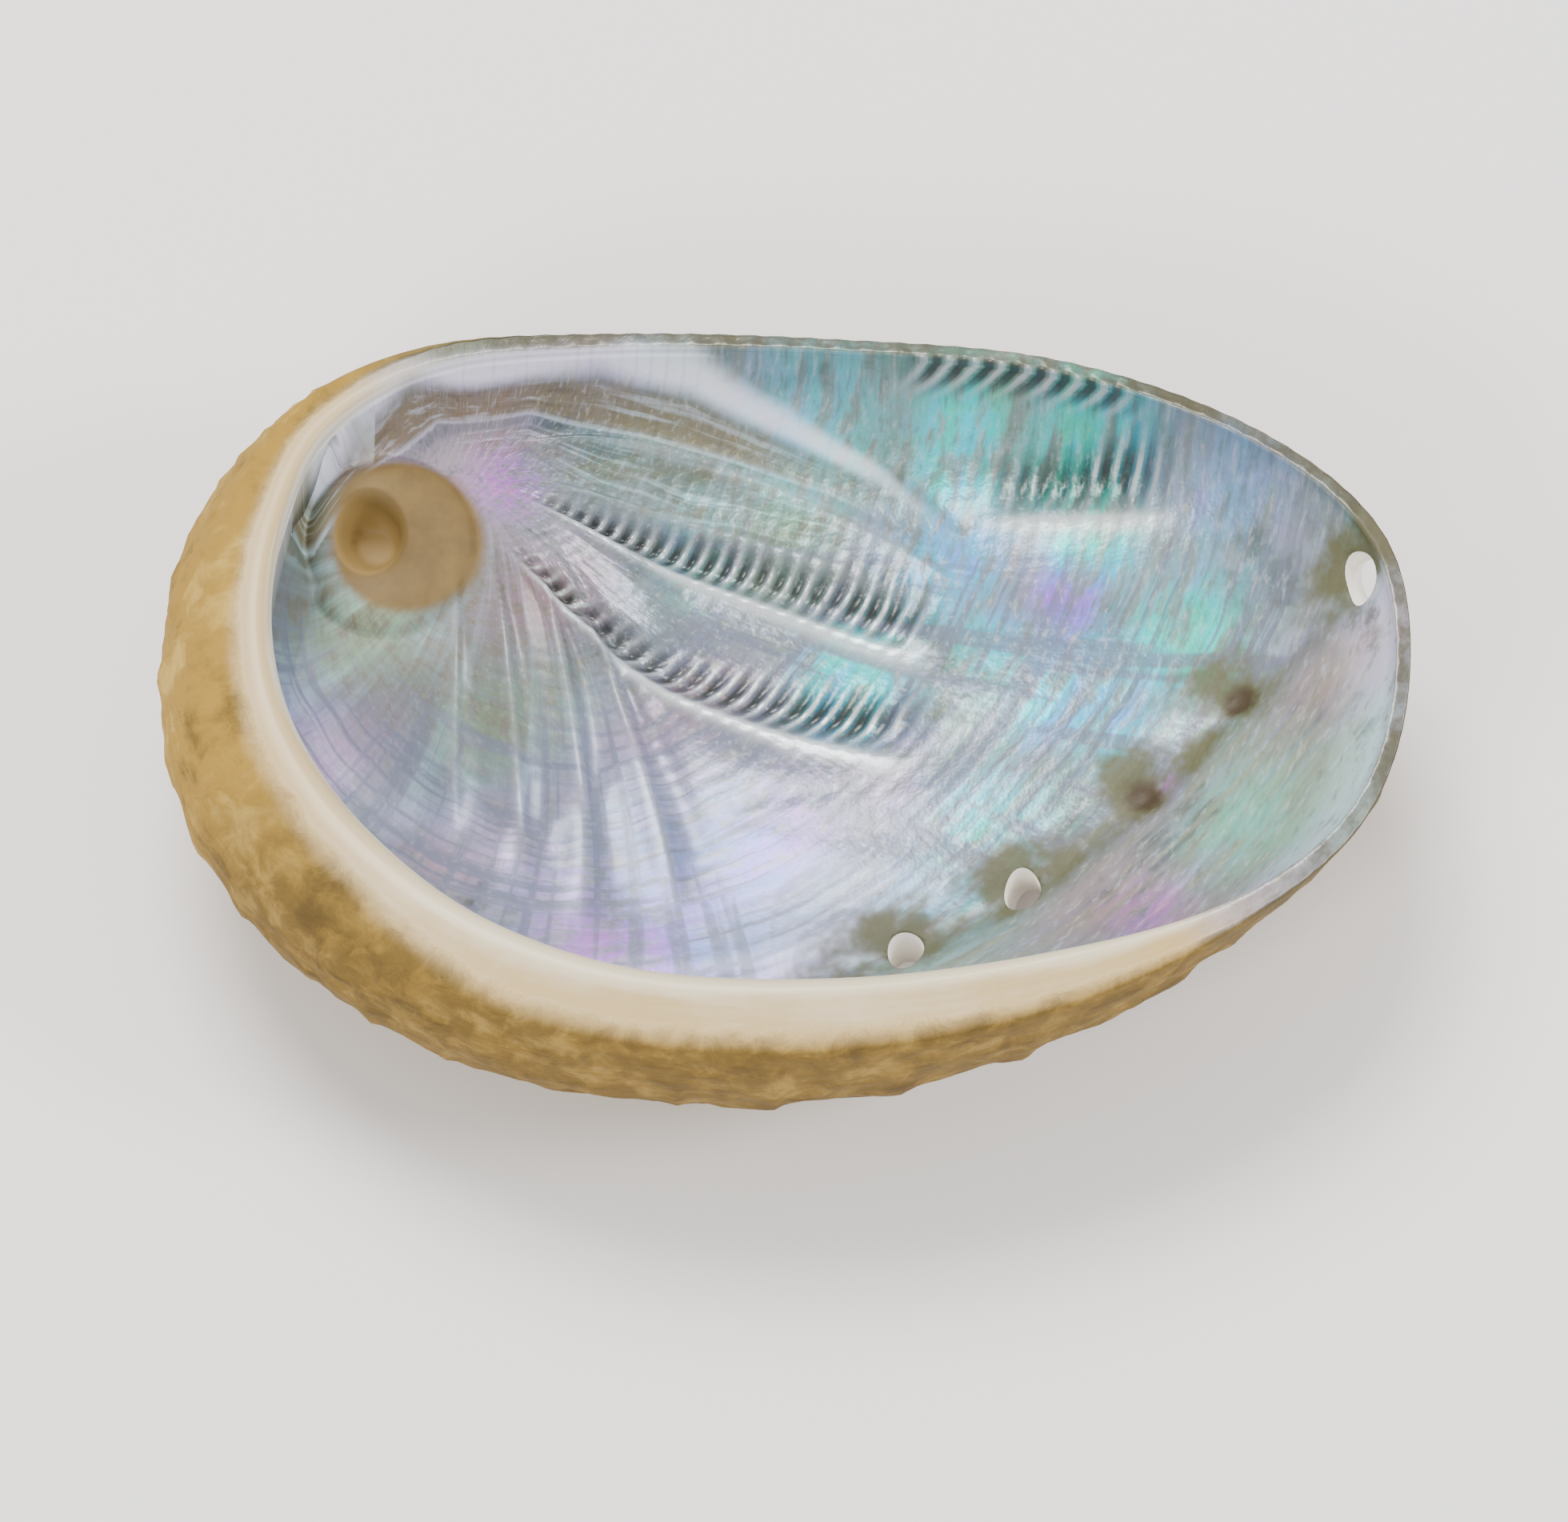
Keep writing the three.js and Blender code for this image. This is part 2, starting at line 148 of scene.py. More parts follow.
# A smooth curve through known points, read at places counted in points. At the part t of the way from
# one point to the next, the four points round it weigh half of -t + 2t^2 - t^3, 2 - 5t^2 + 3t^3,
# t + 4t^2 - 3t^3 and -t^2 + t^3.
def curveThrough(known, place, closed):
    whole = np.floor(place).astype(int)
    if not closed:
        whole = np.minimum(whole, len(known) - 3)
    t = (place - whole).reshape(-1, *[1] * (known.ndim - 1))
    weights = ((-t + 2 * t**2 - t**3) / 2, (2 - 5 * t**2 + 3 * t**3) / 2, (t + 4 * t**2 - 3 * t**3) / 2,
               (-t**2 + t**3) / 2)
    return sum(w * known[(whole + k - 1) % len(known)] for k, w in enumerate(weights))


# The rim's rows joined by a smooth closed curve, at equal steps along its length. The outward side is
# square to the line from a point a little behind to a point a little ahead.
def rimStations():
    rimRows = np.array(shell["rim"])
    places = np.arange(len(rimRows) * shell["pointsPerSpan"] + 1) / shell["pointsPerSpan"]
    dense = curveThrough(rimRows, places, closed=True)
    travelled = np.concatenate([[0], np.cumsum(np.hypot(*np.diff(dense[:, :2], axis=0).T))])
    whole = travelled[-1]
    goal = whole * np.arange(shell["stations"]) / shell["stations"]
    read = lambda where, column: np.interp(where % whole, travelled, dense[:, column])
    x, y, width, bulge, fullness, tuck = (read(goal, column) for column in range(6))
    ahead, behind = goal + shell["tangentReach"], goal - shell["tangentReach"]
    dx, dy = (read(ahead, column) - read(behind, column) for column in (0, 1))
    size = np.hypot(dx, dy)
    return {"x": x, "y": y, "width": width, "bulge": np.maximum(bulge, 0), "fullness": fullness,
            "tuck": np.maximum(tuck, 0), "nx": dy / size, "ny": -dx / size}


edge = rimStations()
backX, backY = shell["back"]  # the deepest point


# Length along the rim, up to the end of each station's own step.
def rimLength():
    x, y = edge["x"], edge["y"]
    return np.cumsum(np.hypot(np.diff(x, append=x[0]), np.diff(y, append=y[0])))


# For points, the bearing from the deepest point and the distance from it.
def fromDeepest(x, y):
    return np.arctan2(y - backY, x - backX), np.hypot(x - backX, y - backY)


inset = np.minimum(edge["width"], shell["wallThickness"])
wallBearing, wallReach = fromDeepest(edge["x"] - inset * edge["nx"], edge["y"] - inset * edge["ny"])


# Distance of the keel's spiral from the spire's axis: it grows by a fixed part per turn, and flares a
# little at its end.
def keelRadius(azimuth):
    end = shell["keelAt"] + shell["keelFlareWithin"]
    plain = shell["keelRadius"] * np.exp(shell["keelGrowth"] * np.radians(azimuth - shell["keelAt"]))
    return plain * (1 + shell["keelFlare"] * smooth(azimuth, shell["keelAt"], end))


# A point of that spiral: its distance times the azimuth's cosine and sine.
def keelPoint(azimuth):
    r = float(keelRadius(azimuth))
    return r * math.cos(math.radians(azimuth)), r * math.sin(math.radians(azimuth))


# Azimuth from -270 to 90 degrees, so that the seam lies on the far side.
def azimuthOf(x, y):
    azimuth = np.degrees(np.arctan2(y, x))
    return np.where(azimuth > 90, azimuth - 360, azimuth)


# How far inside the keel's spiral a point lies: the spiral cords of the back keep this distance.
def cordDistance(x, y):
    return keelRadius(azimuthOf(x, y)) - np.hypot(x, y)


# The same for the cords inside, which follow a spiral that opens more slowly.
def innerCordDistance(x, y):
    opening = np.radians(azimuthOf(x, y) - shell["keelAt"])
    return shell["keelRadius"] * np.exp(shell["cordGrowth"] * opening) - np.hypot(x, y)


# The cords inside wander a little from their spiral.
def innerCord(x, y):
    reach = shell["cordWanderReach"]
    return innerCordDistance(x, y) + shell["cordWander"] * (noise(x / reach, y / reach, 0 * x, 5) - 0.5)


# The keel: a bell of the distance from its spiral, narrow where the spiral is tight, and none at the apex.
def keelHeight(x, y):
    radius = keelRadius(azimuthOf(x, y))
    off = (np.hypot(x, y) - radius) / np.minimum(shell["keelWidth"], 0.2 * radius)
    return shell["keelHeight"] * bell(off) * smooth(radius, 2, 6)


# The dimples of the plugged pores: a bell of the distance from each.
def dimpleDepth(x, y):
    total = 0
    for azimuth in shell["dimples"]:
        px, py = keelPoint(azimuth)
        total = total + shell["dimpleDepth"] * bell(np.hypot(x - px, y - py) / shell["dimpleReach"])
    return total


# The tubercles of all pores: a bell each, whose reach shrinks with the spiral towards the apex.
def tubercleHeight(x, y):
    total = 0
    for azimuth in [p[0] for p in shell["openPores"]] + shell["closedPores"]:
        px, py = keelPoint(azimuth)
        reach = shell["tubercleReach"] * min(1, float(keelRadius(azimuth)) / 20)
        total = total + shell["tubercleHeight"] * min(1, reach) * bell(np.hypot(x - px, y - py) / reach)
    return total


# The suture's groove: a bell across a spiral that tightens towards the apex by a fixed part per turn.
def sutureDepth(x, y):
    r = np.maximum(0.01, np.hypot(x, y))
    azimuth = np.degrees(np.arctan2(y, x))
    deepest = 0
    for whole in range(shell["sutureTurns"]):
        wound = (shell["sutureFrom"] - azimuth) % 360 + 360 * whole
        radius = shell["sutureRadius"] * np.exp(-shell["sutureTightening"] * np.radians(wound))
        groove = bell((r / radius - 1) / shell["sutureWidth"]) * np.minimum(1, radius / 1.5)
        deepest = np.maximum(deepest, shell["sutureDepth"] * groove)
    return deepest


# Folds fan out from one centre. Each is a crest with a trough on its upper side, both measured by the
# angle from the fold's own line. Gives height, depth of trough with teeth, and nearness to a crest.
def foldRelief(x, y):
    dx, dy = x - shell["fan"][0], y - shell["fan"][1]
    away = np.maximum(0.05, np.hypot(dx, dy))
    bearing = np.degrees(np.arctan2(dy, dx))
    height, teeth, crests, fade = 0, 0, 0, shell["foldFade"]
    sided = lambda across, widths: bell(across / np.where(across < 0, *widths))
    for angle, curl, crest, trough, start, end, tooth, spread in shell["folds"]:
        across = (bearing - angle - curl * np.log(away / shell["fanReference"])) / spread
        ridge = sided(across, shell["crestWidth"])
        valley = bell((across - shell["troughAt"]) / shell["troughWidth"])
        reach = smooth(away, start, start + fade) * (1 - smooth(away, end - fade, end))
        height = height + (crest * ridge - trough * valley) * reach
        teeth = teeth + tooth * valley * reach
        crests = crests + sided(across, shell["paleCrestWidth"]) * reach * (0.15 + 0.85 * tooth)
    return height, teeth, np.minimum(crests, 1)


# Distance from the well's axis to the ring's edge, in one direction.
def ringReach(azimuth):
    dx, dy = (r - w for r, w in zip(shell["ring"], shell["well"]))
    ahead = dx * np.cos(azimuth) + dy * np.sin(azimuth)
    aside = dx * np.sin(azimuth) - dy * np.cos(azimuth)
    return ahead + np.sqrt(shell["ringRadius"] ** 2 - aside**2)


# The floor round the well climbs to the ring, and the ring's crest falls away from the outer lip.
def ringHeight(x, y, around):
    dx, dy = x - shell["well"][0], y - shell["well"][1]
    azimuth, away = np.arctan2(dy, dx), np.hypot(dx, dy)
    reach = ringReach(azimuth)
    facing = lambda bearing: 0.5 + 0.5 * np.cos(azimuth - math.radians(bearing))
    crest = lerp(shell["ringBottom"], shell["ringTop"], facing(shell["ringCrestBearing"]))
    t = np.clip((away - shell["wellRadius"]) / (reach - shell["wellRadius"]), 0, 1)
    plateau = crest + shell["ringCrown"] * 4 * t * (1 - t) - shell["ringSag"] * t
    low = crest - shell["ringSag"] - shell["apronStep"]
    foot = np.maximum(around, lerp(low, around, smooth(away, reach, reach + shell["apronReach"])))
    outside = lerp(plateau, foot, smooth(away, reach, reach + shell["ringFlank"]))
    slope = lerp(*shell["wellSlopes"], facing(shell["wellSlopeBearing"]))
    inside = lerp(shell["wellFloor"], crest, smooth(away, shell["wellRadius"] - slope, shell["wellRadius"]))
    return np.where(away > shell["wellRadius"], outside, inside)


# The bowl is a superellipse from the deepest point to the wall, with the ring, folds and cords on it.
def floorHeight(x, y, fine=True):
    bearing, away = fromDeepest(x, y)
    reach = np.interp(bearing, wallBearing, wallReach, period=turn)
    fullness = np.interp(bearing, wallBearing, edge["fullness"], period=turn)
    q = np.clip(away / reach, 0, 1)
    bowl = -(shell["depth"] - shell["floorThickness"]) * (1 - q**fullness) ** (1 / fullness)
    fold, teeth, _ = foldRelief(x, y)
    height = ringHeight(x, y, bowl) + fold - keelHeight(x, y) * shell["keelShareInside"]
    height = height - dimpleDepth(x, y)
    if not fine:
        return height
    wave = np.cos(turn * innerCord(x, y) / shell["cordSpacing"])
    quiet = smooth(np.hypot(x - shell["ring"][0], y - shell["ring"][1]), 4, 8)
    return height + wave * (shell["cordHeight"] * quiet + shell["toothHeight"] * np.clip(teeth, 0, 1))


# The rim lies under the mouth's level by a fixed part of the lip's width.
def rimHeight():
    return -shell["rimFall"] * edge["width"]


# Rows of points from the well's floor to the foot of the wall. Rows lie closer together near the ring:
# the share of the way out is (e^(c s) - 1) / (e^c - 1) for equal steps of s.
def floorProfile():
    foot = edge["width"] - edge["tuck"]
    dx = edge["x"] - foot * edge["nx"] - shell["well"][0]
    dy = edge["y"] - foot * edge["ny"] - shell["well"][1]
    far = np.hypot(dx, dy)
    reach = ringReach(np.arctan2(dy, dx))
    share = lambda n: (np.arange(n)[:, None] + 1) / n
    crowd = shell["floorCrowding"]
    spread = (np.exp(crowd * share(shell["floorRows"])) - 1) / (math.exp(crowd) - 1)
    near = reach + shell["ringFlank"]
    radii = np.concatenate([
        shell["wellRadius"] * share(shell["wellRows"]) * np.ones_like(far),
        lerp(shell["wellRadius"], reach, share(shell["ringRows"])),
        reach + shell["ringFlank"] * share(shell["flankRows"]),
        lerp(near, far, spread),
    ])
    x = shell["well"][0] + dx * radii / far
    y = shell["well"][1] + dy * radii / far
    z = floorHeight(x, y)
    lowest = -0.5 * edge["width"] - 0.08
    nearFoot = smooth(radii / far, 0.9, 1)
    z = np.where(nearFoot > 0, np.minimum(z, lerp(z, np.minimum(z, lowest), nearFoot)), z)
    return np.stack([x, y, z], -1)


# The lip's section: up from under it, over its rounded inner edge, and out to the rim.
def lipSection():
    w = edge["width"]
    thin = 1 - smooth(w, 0.7, 1.2)
    ripple = shell["edgeRipple"] * thin * np.cos(turn * rimLength() / shell["edgeRippleSpacing"])
    drop, thick, crown = 0.28 * w, 0.22 * w, 0.04 * w
    corners = [  # how far in from the rim, and height
        (w - edge["tuck"], -drop - thick - 0.03), (0.98 * w, -drop - 0.6 * thick), (0.97 * w, -0.5 * drop),
        (0.8 * w, crown), (0.45 * w, -0.02 * w + ripple), (0 * w, rimHeight() + 0.5 * ripple),
    ]
    return [np.stack([edge["x"] - i * edge["nx"], edge["y"] - i * edge["ny"], z], -1) for i, z in corners]


# The section's corners joined by a smooth curve through them, between the rows before and after.
def lipProfile(before, after):
    known = np.stack([before] + lipSection() + [after])
    spans = len(known) - 3
    places = 1 + spans * np.arange(shell["lipRows"]) / (shell["lipRows"] - 1)
    return curveThrough(known, places, closed=False)


# Lamellae of the back: growth folds that sweep out from the spire, steep on one side like a saw's teeth.
# The share t of one fold gives t cubed, rounded off where it falls.
def lamellaHeight(x, y):
    r = np.maximum(1, np.hypot(x, y))
    phase = (azimuthOf(x, y) + np.degrees(shell["lamellaSweep"] * np.log(r))) / shell["lamellaStep"]
    reach = shell["lamellaWanderReach"]
    phase = phase + shell["lamellaWander"] * (noise(x / reach, y / reach, 0 * x, 6) - 0.5)
    t = phase - np.floor(phase)
    shape = t**3 * (1 - smooth(t, 0.88, 1))
    return shell["lamellaHeight"] * 1.4 * shape * smooth(r, 4, 10)


# The back: a superellipse from the rim down to the deepest point. The wall's bulge is 27/4 s (1 - s)^2,
# which peaks at 1, for the share s of the way down. Keel, tubercles, suture, beaded cords and crust are
# pushed out along the surface's own outward direction.
def backProfile():
    dx, dy = edge["x"] - backX, edge["y"] - backY
    reach = np.hypot(dx, dy)
    start = rimHeight()
    tall = shell["depth"] + start
    full = edge["fullness"]
    angle = (np.arange(shell["backRows"])[:, None] + 1) / (shell["backRows"] + 1) * math.pi / 2
    q, down = np.cos(angle) ** (2 / full), np.sin(angle) ** (2 / full)
    out = (q * reach + 6.75 * edge["bulge"] * down * (1 - down) ** 2) / reach
    slopeOut, slopeDown = q ** (full - 1) / reach, down ** (full - 1) / tall
    size = np.hypot(slopeOut, slopeDown)
    x, y = backX + dx * out, backY + dy * out
    fade = smooth(down, 0, 0.25)
    raised = keelHeight(x, y) + tubercleHeight(x, y) - sutureDepth(x, y)
    spire = shell["knobHeight"] * bell(np.hypot(x, y) / shell["knobReach"])
    z = start - tall * down
    cord = cordDistance(x, y)
    wave = 0.5 + 0.5 * np.cos(turn * cord / shell["backCordSpacing"])
    patch = shell["beadWanderReach"]
    wander = shell["beadWander"] * noise(x / patch, y / patch, z / patch, 3)
    beads = 0.6 + 0.4 * np.cos(np.radians(azimuthOf(x, y)) * shell["beadsPerRadian"] + wander)
    crust = noise(x / 0.9, y / 0.9, z / 0.5, 1) - 0.5 + 0.5 * (noise(x / 0.4, y / 0.4, z / 0.25, 2) - 0.5)
    fine = shell["backCordHeight"] * (wave * beads - 0.5) + shell["crustHeight"] * crust
    fine = fine + lamellaHeight(x, y) * smooth(down, 0.1, 0.4)
    push = (fade * (raised + spire) + smooth(down, 0, 0.05) * fine) / size
    z = z - push * slopeDown + shell["foldShareOutside"] * fade * foldRelief(x, y)[0]
    z = np.maximum(z, shell["flatDepth"] - shell["depth"])
    return np.stack([x + push * slopeOut * dx / reach, y + push * slopeOut * dy / reach, z], -1)


floorGrid = floorProfile()
backGrid = backProfile()
lipGrid = lipProfile(floorGrid[-1], backGrid[0])
grid = np.concatenate([floorGrid, lipGrid, backGrid])
rows, stations = grid.shape[:2]
poles = np.array([[*shell["well"], shell["wellFloor"]], [backX, backY, shell["flatDepth"] - shell["depth"]]])
points = np.concatenate([grid.reshape(-1, 3), poles])
print("form: rows", rows, "stations", stations)


# Quads between neighbouring rows and stations, and a fan of triangles at each pole.
def gridFaces():
    j = np.arange(stations)
    after = (j + 1) % stations
    k = np.arange(rows - 1)[:, None] * stations
    quads = np.stack([k + j, k + stations + j, k + stations + after, k + after], -1).reshape(-1, 4)
    first = np.stack([np.full(stations, rows * stations), j, after], -1)
    base = (rows - 1) * stations
    last = np.stack([base + j, np.full(stations, rows * stations + 1), base + after], -1)
    return quads, np.concatenate([first, last])


# A mesh from whole arrays: corner numbers one after the other, then where each face starts.
def meshFrom(name, corners, quads, triangles, attributes):
    mesh = bpy.data.meshes.new(name)
    loops = np.concatenate([quads.ravel(), triangles.ravel()]).astype(np.int32)
    starts = np.concatenate([np.arange(len(quads)) * 4, len(quads) * 4 + np.arange(len(triangles)) * 3])
    mesh.vertices.add(len(corners))
    mesh.vertices.foreach_set("co", corners.astype(np.float32).ravel())
    mesh.loops.add(len(loops))
    mesh.loops.foreach_set("vertex_index", loops)
    mesh.polygons.add(len(starts))
    mesh.polygons.foreach_set("loop_start", starts.astype(np.int32))
    mesh.update(calc_edges=True)
    mesh.polygons.foreach_set("use_smooth", np.ones(len(starts), dtype=bool))
    for key, value in attributes.items():
        layer = mesh.attributes.new(key, "FLOAT_VECTOR", "POINT")
        layer.data.foreach_set("vector", value.astype(np.float32).ravel())
    mesh.validate()
    return mesh


# What can be changed of the markings, in mm from the spire's axis.
marks = {
    "lipStart": shell["wellRows"] + shell["ringRows"] + shell["flankRows"] + shell["floorRows"],
    "poreStain": 2.1, "stainShift": (-0.35, 0.55), "plugReach": 0.8, "tanDisc": (1.15, -0.25),
    "tanReach": 2.85, "spireReach": (3.5, 6),
    "bevelLine": [(-2.2, 1.4), (-0.5, 3.4), (1.2, 4.6), (4.5, 5.1), (8, 5.5), (11.3, 5.2), (14.6, 4.2),
                  (18, 2.9), (20.3, 1.4), (22.5, -0.6), (25, -3)],
    "paleLine": [(-2.2, -1), (-0.85, 0.9), (0.5, 2.6), (2.2, 3.9), (5.5, 4.4), (9.6, 3.9), (13, 3.2),
                 (16.3, 2.3), (19.3, 1), (22, -1), (25, -4)],
    "dimpleRow": (18.5, 28), "dimpleInset": 0.75, "dimpleReach": 0.3, "dimpleSpacing": 0.95,
    # x, y, reach, how strong the play of colour is, and its phase
    "play": [
        (25.6, 2.9, 2.4, 1, 0.52), (25.6, 0, 1.8, 1, 0.42), (28.8, -3.6, 2.4, 1, 0.43),
        (24.9, -4.6, 2.8, 0.9, 0.60), (25, -1.4, 1.7, 0.9, 0.86), (17.3, -3.6, 2.4, 1, 0.51),
        (20.5, 0.2, 2.6, 0.8, 0.66), (30.8, -11.6, 2.6, 0.55, 0.47), (16, 4.4, 3.4, 0.5, 0.50),
        (28, -9.5, 1.8, 0.4, 0.90), (4.6, 2.2, 1.7, 0.45, 0.84), (9.5, -13, 5, 0.45, 0.76),
        (19, -8.8, 2.2, 0.25, 0.92), (22, -9.5, 2.8, 0.6, 0.48), (30.5, 0.6, 2.6, 0.45, 0.70),
        (8, 5.2, 3, 0.2, 0.80), (21, 3.4, 2.2, 0.9, 0.46), (22, -2.6, 1.8, 0.7, 0.50),
        (13.5, -9.5, 3.2, 0.5, 0.70), (26.5, -6.8, 1.8, 0.8, 0.55), (20, -12.5, 3, 0.45, 0.50),
        (27.5, -14.8, 1.8, 0.6, 0.85), (30, -1.8, 1.8, 0.5, 0.58), (23, 5.2, 3, 0.5, 0.45),
        (11.5, 0.8, 2.2, 0.35, 0.55), (19.5, -5.5, 1.6, 0.25, 0.93),
    ],
}


# The weighted mean phase of the patches near a point, and how strong the nearest ones are.
def playOfColour(x, y):
    cosine, sine, strength = 0, 0, 0.12 + 0 * x
    for px, py, reach, strong, phase in marks["play"]:
        weight = bell(np.hypot(x - px, y - py) / reach) * strong
        cosine = cosine + weight * math.cos(turn * phase)
        sine = sine + weight * math.sin(turn * phase)
        strength = np.maximum(strength, weight)
    background = turn * (0.62 + 0.16 * np.sin(x * 0.31 + y * 0.47) + 0.1 * np.sin(x * 0.73 - y * 0.9 + 2))
    cosine = cosine + 0.15 * np.cos(background)
    sine = sine + 0.15 * np.sin(background)
    return np.cos(np.arctan2(sine, cosine)), np.sin(np.arctan2(sine, cosine)), strength


# The smooth bands along the outer lip's side lie between two lines given by their points. The share t of
# the way from the lower to the upper line gives the dark band, the bright bevel and the grey below.
def topBands(x, y):
    upper, lower = (np.interp(x, *np.array(marks[key]).T) for key in ("bevelLine", "paleLine"))
    t = (y - lower) / (upper - lower)
    dark = smooth(t, 0.02, 0.2) * (1 - smooth(t, 0.6, 0.9)) * (1 - smooth(x, 13, 19))
    bevelEnd = lerp(1.8, 1.4, smooth(x, 4, 10))
    bevel = smooth(t, 0.7, 0.95) * (1 - smooth(t, 1.05, bevelEnd)) * (1 - smooth(x, 16, 21))
    below = smooth(-t, 0.1, 0.3) * (1 - smooth(-t, 0.7, 1.6)) * smooth(x, 2.5, 4) * (1 - smooth(x, 14, 20))
    return dark, bevel, np.clip(t, -3, 3), below


# How far a point lies inside the rim, measured along the ray from the deepest point.
def insideRim(x, y):
    bearing, away = fromDeepest(x, y)
    rimBearing, rimReach = fromDeepest(edge["x"], edge["y"])
    return np.interp(bearing, rimBearing, rimReach, period=turn) - away


# The stain round each pore and the dark plug in each closed one: the nearest one's bell counts.
def poreSpots(x, y):
    stain, plug = np.zeros_like(x), np.zeros_like(x)
    shiftX, shiftY = marks["stainShift"]
    for azimuth in [pore[0] for pore in shell["openPores"]] + shell["dimples"]:
        px, py = keelPoint(azimuth)
        off = np.hypot(x - px - shiftX, (y - py - shiftY) * 1.2)
        stain = np.maximum(stain, bell(off / marks["poreStain"]))
        if azimuth in shell["dimples"]:
            plug = np.maximum(plug, bell(np.hypot(x - px, y - py) / marks["plugReach"]))
    return stain, plug


# The tan disc round the well, the well itself, the shadow on one side of its edge, and nearness to it.
def spireSpots(x, y):
    dx, dy = x - shell["well"][0], y - shell["well"][1]
    away, radius = np.hypot(dx, dy), shell["wellRadius"]
    hole = 1 - smooth(away, radius - 0.1, radius + 0.02)
    holeEdge = bell((away - radius + 0.12) / 0.16) * smooth((dx + dy) / np.maximum(away, 0.01), -0.3, 1.2)
    discX, discY = marks["tanDisc"]
    disc = 1 - smooth(np.hypot(x - discX, y - discY), marks["tanReach"] - 0.35, marks["tanReach"] + 0.15)
    return disc, hole, holeEdge, 1 - smooth(away, *marks["spireReach"])


# What the shader reads at every point, three values to a name: the zones by row, the relief, the place
# and the markings.
def surfaceFacts():
    x, y = points[:, 0], points[:, 1]
    index = np.concatenate([np.repeat(np.arange(rows), stations), [-1, rows]])
    startLip, endLip = marks["lipStart"], marks["lipStart"] + shell["lipRows"]
    width = np.concatenate([np.tile(edge["width"], rows), [1, 1]])
    broad = smooth(width, 0.7, 1.5)
    leftShare = np.concatenate([np.tile(1 - smooth(edge["x"], -3, 6), rows), [0, 0]])
    crust = smooth(index - 3 * (1 - broad) + 3 * leftShare, endLip - 5.5 - broad, endLip - 4 + 5.5 * broad)
    lip = smooth(index, startLip - 2, startLip + 3) * broad
    along = np.clip((index - startLip) / shell["lipRows"], 0, 1)
    length = np.concatenate([np.tile(rimLength(), rows), [0, 0]])
    share = turn * length / rimLength()[-1]
    rimAway = insideRim(x, y)
    start, end = marks["dimpleRow"]
    row = smooth(x, start, start + 1.5) * (1 - smooth(x, end - 2, end)) * smooth(y, -2, 1)
    margin = row * bell((rimAway - marks["dimpleInset"]) / marks["dimpleReach"])
    dark, bevel, bandShare, below = topBands(x, y)
    beyondRim = np.clip((index - endLip) / shell["backRows"], 0, 1)
    _, teeth, crests = foldRelief(x, y)
    dx, dy = x - shell["fan"][0], y - shell["fan"][1]
    away, bearing = np.hypot(dx, dy), np.arctan2(dy, dx)
    stain, plug = poreSpots(x, y)
    disc, hole, holeEdge, nearSpire = spireSpots(x, y)
    playX, playY, strength = playOfColour(x, y)
    groups = {
        "zones": (lip, disc, crust),
        "relief": (np.clip(teeth, 0, 1), crests, along),
        "place": (innerCord(x, y), bearing, away),
        "play": (playX, playY, strength),
        "spots": (stain, plug, margin),
        "spire": (hole, holeEdge, nearSpire),
        "bands": (dark, bevel, bandShare),
        "side": (cordDistance(x, y), below, broad),
        "rim": (np.cos(share), np.sin(share), beyondRim),
        "edge": (rimAway, length, 0 * x),
    }
    return {name: np.stack(group, -1) for name, group in groups.items()}


facts = surfaceFacts()
quads, triangles = gridFaces()
shift = np.array(shell["shift"])
skin = meshFrom("shellSkin", (points + shift) * mm, quads, triangles, facts)
piece = bpy.data.objects.new("ormer_shell", skin)
show(piece)


# A pore's cutter: an oval post, a little wavy, between the wall's own direction and the vertical. The
# wall's direction comes from its slope, taken over one millimetre.
def poreCutter(azimuth, radius):
    x, y = keelPoint(azimuth)
    at = lambda a, b: float(floorHeight(np.array([a]), np.array([b]), fine=False)[0])
    normal = Vector((at(x - 0.5, y) - at(x + 0.5, y), at(x, y - 0.5) - at(x, y + 0.5), 1)).normalized()
    normal = (normal + Vector((0, 0, shell["poreUpright"]))).normalized()
    sides, reach = shell["postSides"], shell["postReach"]
    around = turn * np.arange(sides) / sides
    wobble = 1 + shell["postWobble"] * np.sin(3 * around + azimuth)
    across, along = np.cos(around), shell["postOval"] * np.sin(around)
    outline = np.stack([radius * wobble * across, radius * wobble * along, 0 * around], -1)
    lower, upper = (outline * [size, size, 1] for size in shell["postEnds"])
    turned = np.array(Vector((0, 0, 1)).rotation_difference(normal).to_matrix())
    post = np.concatenate([lower - [0, 0, reach], upper + [0, 0, reach], [[0, 0, -reach], [0, 0, reach]]])
    corners = post @ turned.T + [x, y, at(x, y)] + shift
    j = np.arange(sides)
    after = (j + 1) % sides
    walls = np.stack([j, after, sides + after, sides + j], -1)
    caps = np.concatenate([np.stack([after, j, np.full(sides, 2 * sides)], -1),
                           np.stack([sides + j, sides + after, np.full(sides, 2 * sides + 1)], -1)])
    blank = {key: np.zeros((len(corners), 3)) for key in facts}
    mesh = meshFrom("poreCutter", corners * mm, walls, caps, blank)
    mesh.materials.append(poreWall.data)
    return bpy.data.objects.new("pore_cutter", mesh)


